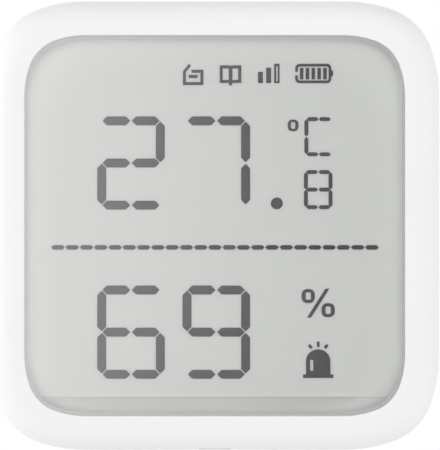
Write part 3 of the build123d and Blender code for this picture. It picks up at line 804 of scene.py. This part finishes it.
SATIN_WHITE_ABS = MouldedPlastic("satin_white_abs", shine=0.25)
CHASSIS_ABS = MouldedPlastic("matt_white_abs", "EDEDEC", "E8E8E7", 0.5, 0.24, 0.005)
PANEL_ABS = MouldedPlastic("grained_white_abs", "EFEFEE", "EAEAE9", 0.48, 0.3, 0.006)
FRAME_PC = MouldedPlastic("white_polycarbonate", "E6E7E5", "E0E1DF", 0.35, 0.2, 0.002, 1.58)
PLUNGER_POM = MouldedPlastic("white_acetal", "E9E8E2", "E3E2DC", 0.3, 0.15, 0.002, 1.48)
BUTTON_ABS = MouldedPlastic("grey_abs", "A9ABAC", "A2A4A5", 0.42, 0.2, 0.004)
SWITCH_NYLON = MouldedPlastic("black_nylon", "1E1F20", "262728", 0.45, 0.2, 0.005, 1.53)
CHIP_EPOXY = MouldedPlastic("black_moulded_epoxy", "1B1C1E", "222325", 0.55, 0.1, 0.004, 1.55)
GASKET_PP = MouldedPlastic("black_polypropylene", "202123", "28292B", 0.4, 0.2, 0.003, 1.49)
CELL_MIX = MouldedPlastic("pressed_cell_mix", "2A2A2B", "343435", 0.8, 0.3, 0.02, 1.5)
# The seal is milky epoxy, and its pale tone and paler rim are also painted light that offsets the
# recess's shade.
SEAL_EPOXY = DisplayLayer("cured_epoxy_and_painted_light", "E5E7E4", "E0E2DF", 0.4, 0.3, "EEF0ED")
RING_GLUE = MouldedPlastic("grey_transfer_tape", "CACAC8", "C5C5C3", 0.1, 0.2, 0.0001, 1.47, 0.9)
SILICONE = MouldedPlastic("grey_silicone", "8E8D8B", "858482", 0.5, 0.3, 0.002, 1.41)
CARBON_RUBBER = MouldedPlastic("carbon_rubber", "17181A", "1E1F21", 0.6, 0.1, 0.002, 1.5)
REFLECTOR_FILM = DisplayLayer("pearl_reflector_film", "C8CBC7", "BABDB9")
WINDOW_ACRYLIC = ClearSheet("polished_clear_acrylic")
ANTI_GLARE_FILM = ClearSheet(
    "anti_glare_polariser", "FBFBFB", "FDFDFD", 1.3, 0.4, 0.0002, 0.6, 0.015
)
FLOAT_GLASS = ClearSheet("float_glass", "FEFEFE", "FEFEFE", 1.1, 9.0, 0.0002, 2.0, 0.005)
# The ground is painted paler near the window's rim: painted light that offsets the recess's shade.
DISPLAY_GROUND = DisplayLayer("liquid_crystal_ground", painted_rim_light="EEF0ED")
# The figures are painted paler towards the left: a painted reflection of the lens's veil.
DISPLAY_DARK = DisplayLayer("liquid_crystal_dark", "656564", "60605F", 0.6, painted_veil_colour="757574")
DISPLAY_LINE = DisplayLayer("liquid_crystal_line", "5C5C5B", "575756", 0.6, painted_veil_colour="6D6D6C")
# The ledge's print is its own colour; its paler rim is painted light, and its paler left a painted
# reflection of the lens's veil.
LEDGE_INK = DisplayLayer(
    "printed_ledge",
    "C6C8C5",
    "C1C3C0",
    0.6,
    0.2,
    "DBDDDA",
    rim_light_from_mm=21.0,
    rim_light_to_mm=23.2,
    painted_veil_colour="CFD1CE",
    painted_veil_from_mm=18.0,
    painted_veil_to_mm=2.0,
)
PAD_FOAM = FoamTape("white_foam_tape")
CELL_STEEL = WorkedMetal("turned_stainless_steel", "CFCDC8", "BDBBB6", 0.26, lay=Lay.TURNED)
NICKEL = WorkedMetal("rolled_nickel_plate", "CBC3B4", "B9B1A2", 0.24)
TIN = WorkedMetal("rolled_tin_plate", "C6C7C6", "B1B2B1", 0.36, 0.22)
ZINC = WorkedMetal("zinc_plated_steel", "C4C7CA", "A9ACB0", 0.34, 0.12, 0.004)
SPRING_WIRE = WorkedMetal("drawn_spring_steel", "B6B5B1", "9C9B97", 0.3, lay=Lay.DRAWN)
SOLDER = WorkedMetal("reflowed_solder", "C9CACA", "B5B6B6", 0.22, 0.3, 0.001)
BOARD = SolderMask("green_solder_mask")
PAPER = StudioPaper("glowing_white_paper")
CARD = GradedCard("graded_card")


# Sub-assemblies


@dataclass
class Assembly:
    """Sub-assembly of the sensor. It dresses CAD nodes and adds pieces of its own."""

    nodes: dict[str, bpy.types.Object]

    def dress(self, finish: Finish, *names: str) -> None:
        """Give CAD nodes a finish.

        Args:
            finish: Their finish.
            *names: Names of the nodes.
        """
        for name in names:
            node = self.nodes[name]
            if not node.material_slots:
                node.data.materials.append(finish.material())
            for slot in node.material_slots:
                slot.material = finish.material()
            log.info("%s keeps its CAD shape, in %s", name, finish.name)

    def keep(
        self, piece: bpy.types.Object, body: Body, finish: Finish, slot: str, *replaced: str
    ) -> None:
        """Give a new piece its finish and its body.

        Args:
            piece: The finished piece.
            body: CAD body it moves with.
            finish: Its finish.
            slot: Material slot of the record that it belongs to. It is not used.
            *replaced: CAD nodes that it stands for.
        """
        piece.data.materials.clear()
        piece.data.materials.append(finish.material())
        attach(piece, body.value)
        if replaced:
            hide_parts(*replaced)
        log.info("%s has %d faces, in %s", piece.name, len(piece.data.polygons), finish.name)

    def build(self) -> None:
        """Dress the nodes and build the pieces."""
        raise NotImplementedError


@dataclass
class CaseAssembly(Assembly):
    """Front case with its window lens and the ring of glue that holds it."""

    lens_half: float = 25.29
    lens_depths: Point = (15.05, 15.85)
    lens_edge: float = 0.04
    glue_half: float = 25.26
    shelf_half: float = 24.85
    shelf_front: float = 14.9
    glue_front: float = 15.03
    glue_edge: float = 0.03

    def build(self) -> None:
        """Dress the case, fit the lens, and lay the ring of glue behind it."""
        self.dress(SATIN_WHITE_ABS, "front_case")
        rear, front = self.lens_depths
        full = window_outline(self.lens_half)
        small = window_outline(self.lens_half - self.lens_edge)
        edge = [(rear + self.lens_edge, full), (front - self.lens_edge, full)]
        lens = layered_plate("polished_window", [(rear, small), *edge, (front, small)])
        self.keep(lens, Body.CASE, WINDOW_ACRYLIC, "lens_clear", "window_lens")
        outer = window_outline(self.glue_half)
        pressed = window_outline(self.glue_half - self.glue_edge)
        layers = [
            (self.shelf_front, outer),
            (self.glue_front - self.glue_edge, outer),
            (self.glue_front, pressed),
        ]
        ring = layered_plate("lens_glue_ring", layers, window_outline(self.shelf_half))
        self.keep(ring, Body.CASE, RING_GLUE, "adhesive_grey", "lens_adhesive")


@dataclass
class DisplayAssembly(Assembly):
    """Liquid crystal display on its frame, with the rubber strip that feeds it."""

    glass_half: float = 25.0
    corner: float = 2.0
    ground: float = 0.06
    rear_glass: Point = (12.57, 13.235)
    front_glass: Point = (13.335, 13.98)
    polariser: Point = (14.01, 14.2)
    rear_bottom: float = -22.9
    polariser_bottom: float = -22.96
    ledge: Point = (13.305, 13.32)
    strip_length: float = 40.0
    strip_levels: Point = (-24.9, -23.3)
    strip_depths: Point = (9.9, 13.3)
    film_inset: float = 0.05
    film_ground: float = 0.02
    ledge_inset: float = 0.15
    ledge_levels: Point = (-24.85, -22.84)
    strip_edge: float = 0.12
    strip_inset: float = 0.02
    strip_gap: float = 0.01
    bare_ends: float = 0.4
    layer_pitch: float = 0.2
    layer_width: float = 0.08
    layer_gap: float = 0.02

    def build(self) -> None:
        """Build the display's plates, dress its figures and frame, and lay up the strip."""
        self.dress(DISPLAY_DARK, "temperature_digits", "humidity_digits")
        self.dress(DISPLAY_DARK, "unit_symbols", "alarm_symbol", "status_symbols")
        self.dress(DISPLAY_LINE, "divider_dashes")
        self.dress(SEAL_EPOXY, "display_edge_seal")
        self.dress(REFLECTOR_FILM, "reflector")
        self.dress(FRAME_PC, "display_frame")
        self.plates()
        self.strip()

    def plates(self) -> None:
        """Build the two glass plates, the polariser and the printed ledge below it."""
        half, corner, ground = self.glass_half, self.corner, self.ground
        bottom = self.rear_bottom
        rear = cut_plate("rear_glass_plate", half, bottom, corner, *self.rear_glass, ground)
        self.keep(rear, Body.CASE, DISPLAY_GROUND, "display_glass", "display_rear_glass")
        front = cut_plate("front_glass_plate", half, -half, corner, *self.front_glass, ground)
        self.keep(front, Body.CASE, FLOAT_GLASS, "display_glass", "display_front_glass")
        sizes = (half - self.film_inset, self.polariser_bottom, corner)
        film = cut_plate("polariser_film", *sizes, *self.polariser, self.film_ground)
        self.keep(film, Body.CASE, ANTI_GLARE_FILM, "polariser_film", "front_polariser")
        inner, (low, high) = half - self.ledge_inset, self.ledge_levels
        outline = [(-inner, low), (inner, low), (inner, high), (-inner, high)]
        ink = layered_plate("ledge_print", [(depth, outline) for depth in self.ledge])
        self.keep(ink, Body.CASE, LEDGE_INK, "seal_grey")

    def strip(self) -> None:
        """Lay up the rubber strip: a silicone bar crossed by thin carbon layers."""
        (low, high), (rear, front) = self.strip_levels, self.strip_depths
        middle, half = (low + high) / 2, self.strip_length / 2

        def section(inset: float) -> list[Point]:
            """Give the bar's outline, drawn in by an inset."""
            return [
                (inset - half, low + inset),
                (half - inset, low + inset),
                (half - inset, high - inset),
                (inset - half, high - inset),
            ]

        edge, tight, full = self.strip_edge, section(self.strip_edge), section(self.strip_inset)
        sides = [(rear + edge, full), (front - edge, full)]
        bar = layered_plate("silicone_bar", [(rear, tight), *sides, (front - self.strip_gap, tight)])
        self.keep(bar, Body.CASE, SILICONE, "elastomer_grey", "elastomer_strip")
        inputs = {"Length": "Float", "Pitch": "Float", "Size": "Vector", "Middle": "Vector"}
        tree, given = new_tree("carbon_layers", {**inputs, "Finish": "Material"})
        start = {0: compute(tree, "MULTIPLY", given["Length"], -0.5)}
        start = add_node(tree, "ShaderNodeCombineXYZ", start).outputs[0]
        first = {0: start, 1: given["Middle"]}
        line = {
            "Count": compute(tree, "DIVIDE", given["Length"], given["Pitch"]),
            "Start Location": add_node(tree, "ShaderNodeVectorMath", first).outputs[0],
            "Offset": add_node(tree, "ShaderNodeCombineXYZ", {0: given["Pitch"]}).outputs[0],
        }
        placed = {
            "Points": add_node(tree, "GeometryNodeMeshLine", line).outputs[0],
            "Instance": add_node(tree, "GeometryNodeMeshCube", {"Size": given["Size"]}).outputs[0],
        }
        end_tree(tree, placed, given["Finish"])
        layers = new_piece("carbon_layers", bpy.data.meshes.new("carbon_layers"))
        size = (self.layer_width, front - rear - self.layer_gap, high - low)
        sizes = {
            "Length": (self.strip_length - self.bare_ends) * MM,
            "Pitch": self.layer_pitch * MM,
            "Size": Vector(size) * MM,
            "Middle": Vector((self.layer_pitch / 2, -(rear + front) / 2, middle)) * MM,
            "Finish": CARBON_RUBBER.material(),
        }
        run_tree(layers, tree, sizes)
        self.keep(layers, Body.CASE, CARBON_RUBBER, "elastomer_grey")


@dataclass
class BoardAssembly(Assembly):
    """Main board with its parts, and the solder that joins them to it."""

    board_front: float = 9.9
    joint_size: Triple = (0.34, 0.3, 0.5)
    chip_middle: Point = (-6.0, 5.0)
    first_leg: Point = (-8.8, 2.2)
    leg_pitch: float = 0.8
    leg_reach: float = 4.85
    leg_count: int = 8
    first_part: Point = (3.0, 2.4)
    part_pitch: Point = (3.0, 2.4)
    part_reach: float = 0.85
    part_counts: tuple[int, int] = (3, 4)

    def build(self) -> None:
        """Dress the board and its parts, and add the solder joints."""
        self.dress(BOARD, "main_board")
        self.dress(CHIP_EPOXY, "microcontroller", "radio_chip", "board_components")
        self.dress(TIN, "crystal", "radio_shield")
        self.dress(NICKEL, "antenna")
        self.dress(FRAME_PC, "humidity_sensor")
        self.joints()

    def feet(self) -> list[Point]:
        """Give the places of the microcontroller's legs and of the small parts' ends."""
        (x, z), (leg_x, leg_z) = self.chip_middle, self.first_leg
        pitch, reach = self.leg_pitch, self.leg_reach
        legs = [(pitch * i, side * reach) for i in range(self.leg_count) for side in SIDES]
        feet = [(leg_x + along, z + out) for along, out in legs]
        feet += [(x + out, leg_z + along) for along, out in legs]
        (x, z), (step_x, step_z), (columns, rows) = self.first_part, self.part_pitch, self.part_counts
        for i in range(columns):
            for k in range(rows):
                feet += [(x + step_x * i + side * self.part_reach, z + step_z * k) for side in SIDES]
        return feet

    def joints(self) -> None:
        """Add a fillet of solder at each foot of the microcontroller and small parts."""
        tree, given = new_tree("solder_joints", {"Size": "Vector", "Finish": "Material"})
        drop = add_node(tree, "GeometryNodeMeshIcoSphere", {"Radius": 0.5, "Subdivisions": 2})
        placed = {"Points": given["Geometry"], "Instance": drop.outputs[0], "Scale": given["Size"]}
        end_tree(tree, placed, given["Finish"])
        piece = point_piece("solder_joints", self.feet(), self.board_front)
        sizes = {"Size": Vector(self.joint_size) * MM, "Finish": SOLDER.material()}
        run_tree(piece, tree, sizes)
        for face in piece.data.polygons:
            face.use_smooth = True
        self.keep(piece, Body.CASE, SOLDER, "nickel_plate")


@dataclass
class ChassisAssembly(Assembly):
    """Inner chassis with the coin cell, its contacts, the screws and both switches."""

    def build(self) -> None:
        """Dress the chassis and all that it carries."""
        self.dress(CHASSIS_ABS, "inner_chassis")
        self.dress(ZINC, "chassis_screws")
        self.dress(CELL_STEEL, "cell_can", "cell_cap")
        self.dress(GASKET_PP, "cell_gasket")
        self.dress(CELL_MIX, "cell_core")
        self.dress(NICKEL, "battery_contact_negative", "battery_contact_positive")
        self.dress(SWITCH_NYLON, "tamper_switch", "function_switch")
        self.dress(SPRING_WIRE, "tamper_spring")
        self.dress(PLUNGER_POM, "tamper_plunger")
        self.dress(BUTTON_ABS, "function_button", "function_stem")


@dataclass
class WallPanel(Assembly):
    """Panel on the wall, with its foam pads and the marks of the mould's ejector pins.

    A pad's layers are shares of its depth, each with how far its outline is drawn in there.
    """

    pad_size: Point = (30.0, 9.0)
    pad_corner: float = 1.2
    pad_depth: float = 0.8
    pad_levels: Point = (-17.0, 17.0)
    pad_names: tuple[str, str] = ("foam_pad_lower", "foam_pad_upper")
    pad_shares: tuple[float, ...] = (0.0, 0.08, 0.3, 0.5, 0.7, 0.92, 1.0)
    pad_insets: tuple[float, ...] = (0.05, 0.0, 0.05, 0.09, 0.05, 0.0, 0.05)
    mark_radius: float = 1.6
    mark_bead: float = 0.03
    outer_marks: Point = (22.0, 20.0)
    inner_marks: Point = (9.0, 10.0)
    plate_front: float = 1.6

    def build(self) -> None:
        """Dress the panel, build its pads, and add the pin marks."""
        self.dress(PANEL_ABS, "rear_panel")
        for name, level in zip(self.pad_names, self.pad_levels):
            pad = self.pad(name, level)
            self.keep(pad, Body.PANEL, PAD_FOAM, "foam_tape", "adhesive_pads")
        self.marks()

    def pad(self, name: str, level: float) -> bpy.types.Object:
        """Build one die-cut foam pad, drawn in a little at mid depth.

        Args:
            name: Name of the piece.
            level: Level of its middle.

        Returns:
            The pad's object.
        """
        width, height = self.pad_size
        layers = []
        for share, inset in zip(self.pad_shares, self.pad_insets):
            size = (width - 2 * inset, height - 2 * inset)
            outline = rounded_outline((0.0, level), *size, self.pad_corner - inset)
            layers.append((share * self.pad_depth, outline))
        return layered_plate(name, layers)

    def marks(self) -> None:
        """Add the raised ring that each ejector pin leaves on the plate."""
        inputs = {"Radius": "Float", "Bead": "Float", "Finish": "Material"}
        tree, given = new_tree("pin_marks", inputs)
        circle = {"Resolution": 40, "Radius": given["Radius"]}
        bead = {"Resolution": 6, "Radius": given["Bead"]}
        ring = {
            "Curve": add_node(tree, "GeometryNodeCurvePrimitiveCircle", circle).outputs[0],
            "Profile Curve": add_node(tree, "GeometryNodeCurvePrimitiveCircle", bead).outputs[0],
        }
        placed = {
            "Points": given["Geometry"],
            "Instance": add_node(tree, "GeometryNodeCurveToMesh", ring).outputs[0],
            "Rotation": (math.pi / 2, 0.0, 0.0),
        }
        end_tree(tree, placed, given["Finish"])
        x, z = self.outer_marks
        places = [(side * x, level * z) for side in SIDES for level in SIDES]
        x, z = self.inner_marks
        places += [(side * x, level * z) for level in reversed(SIDES) for side in SIDES]
        piece = point_piece("pin_marks", places, self.plate_front)
        sizes = {
            "Radius": self.mark_radius * MM,
            "Bead": self.mark_bead * MM,
            "Finish": PANEL_ABS.material(),
        }
        run_tree(piece, tree, sizes)
        self.keep(piece, Body.PANEL, PANEL_ABS, "panel_white")


@dataclass
class Studio:
    """Floor, lamp, background and camera."""

    floor_level: float = -90.0
    floor_half: float = 900.0
    camera_distance: float = 2.4
    view_height: float = 60.23
    centre_shift: Point = (0.69, 0.08)
    card_distance: float = 500.0
    card_half: float = 34.0
    lamp_place: Triple = (-2.47, -0.35, 0.1)
    lamp_size: float = 1.6
    lamp_watts: float = 14.0
    wall_light: float = 1.415
    ceiling_light: float = 0.55
    front_lean: Triple = (0.12, 0.0, 0.03)
    rear_lean: Triple = (-0.32, 0.0, -0.25)
    lean_blend: float = 0.1
    film_width: float = 36.0
    clip: Point = (0.05, 60.0)

    def build(self) -> None:
        """Set up the whole studio."""
        self.floor()
        self.card()
        self.background()
        self.lamp()
        self.camera()
        log.info("studio is set")

    def floor(self) -> None:
        """Lay the paper under the object, as a fine grid."""
        shape = bmesh.new()
        bmesh.ops.create_grid(shape, x_segments=12, y_segments=12, size=self.floor_half * MM)
        bmesh.ops.translate(shape, verts=shape.verts, vec=(0, 0, self.floor_level * MM))
        mesh = bpy.data.meshes.new("floor")
        shape.to_mesh(mesh)
        shape.free()
        mesh.materials.append(PAPER.material())
        new_piece("floor", mesh)

    def card(self) -> None:
        """Stand the graded card before the window, where only mirrored rays meet it."""
        half, y = self.card_half * MM, -self.card_distance * MM
        corners = [(-half, y, -half), (half, y, -half), (half, y, half), (-half, y, half)]
        mesh = bpy.data.meshes.new("graded_card")
        mesh.from_pydata(corners, [], [(0, 1, 2, 3)])
        mesh.materials.append(CARD.material())
        card = new_piece("graded_card", mesh)
        card.visible_camera = card.visible_diffuse = card.visible_shadow = False

    def background(self) -> None:
        """Light the object from all round, and show white to sight lines.

        The walls of the studio are lit, so less light comes from its ceiling. What comes from
        behind the object is stronger at the left and below than at the right and above. What
        comes from the front is a little stronger at the right.
        """
        world = bpy.data.worlds.new("studio")
        world.use_nodes = True
        tree = world.node_tree
        tree.nodes.clear()
        way = add_node(tree, "ShaderNodeTexCoord").outputs["Generated"]
        parts = add_node(tree, "ShaderNodeSeparateXYZ", {0: way}).outputs
        slope = compute(tree, "ABSOLUTE", parts[2])
        even = remap(tree, slope, end=(self.wall_light, self.ceiling_light))
        behind = remap(tree, parts[1], (-self.lean_blend, self.lean_blend))
        ends = {0: behind, 4: self.front_lean, 5: self.rear_lean}
        lean = {0: way, 1: add_node(tree, "ShaderNodeMix", ends, data_type="VECTOR").outputs[1]}
        lean = add_node(tree, "ShaderNodeVectorMath", lean, operation="DOT_PRODUCT")
        share = compute(tree, "ADD", lean.outputs["Value"], 1.0)
        level = {"Color": WHITE, "Strength": compute(tree, "MULTIPLY", even, share)}
        light = add_node(tree, "ShaderNodeBackground", level).outputs[0]
        white = add_node(tree, "ShaderNodeBackground", {"Color": WHITE}).outputs[0]
        add_node(tree, "ShaderNodeOutputWorld", {"Surface": add_sight(tree, light, white)})
        bpy.context.scene.world = world

    def lamp(self) -> None:
        """Stand a large soft lamp at the left."""
        light = bpy.data.lights.new("left_softbox", "AREA")
        light.energy, light.size = self.lamp_watts, self.lamp_size
        lamp = bpy.data.objects.new("left_softbox", light)
        lamp.visible_camera = False
        lamp.location = self.lamp_place
        aim = Vector((0, 0, 0)) - lamp.location
        lamp.rotation_euler = aim.to_track_quat("-Z", "Y").to_euler()
        bpy.context.scene.collection.objects.link(lamp)

    def camera(self) -> None:
        """Stand the camera far in front, as the photograph shows no perspective."""
        lens = bpy.data.cameras.new("camera")
        lens.sensor_width = self.film_width
        lens.lens = self.film_width / 2 * self.camera_distance / (self.view_height / 2 * MM)
        lens.clip_start, lens.clip_end = self.clip
        camera = bpy.data.objects.new("camera", lens)
        x, z = self.centre_shift
        camera.location = (x * MM, -self.camera_distance, z * MM)
        camera.rotation_euler = (math.radians(90), 0.0, 0.0)
        bpy.context.scene.collection.objects.link(camera)
        bpy.context.scene.camera = camera


def main() -> None:
    """Load the frame, dress it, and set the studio."""
    logging.basicConfig(level=logging.INFO, format="%(message)s")
    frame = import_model()
    bpy.context.scene.view_settings.view_transform = "Standard"
    bpy.context.scene.cycles.transparent_max_bounces = CLEAR_BOUNCES
    nodes = frame["nodes"]
    for part in (CaseAssembly, DisplayAssembly, BoardAssembly, ChassisAssembly, WallPanel):
        part(nodes).build()
    Studio().build()


if __name__ == "__main__":
    main()
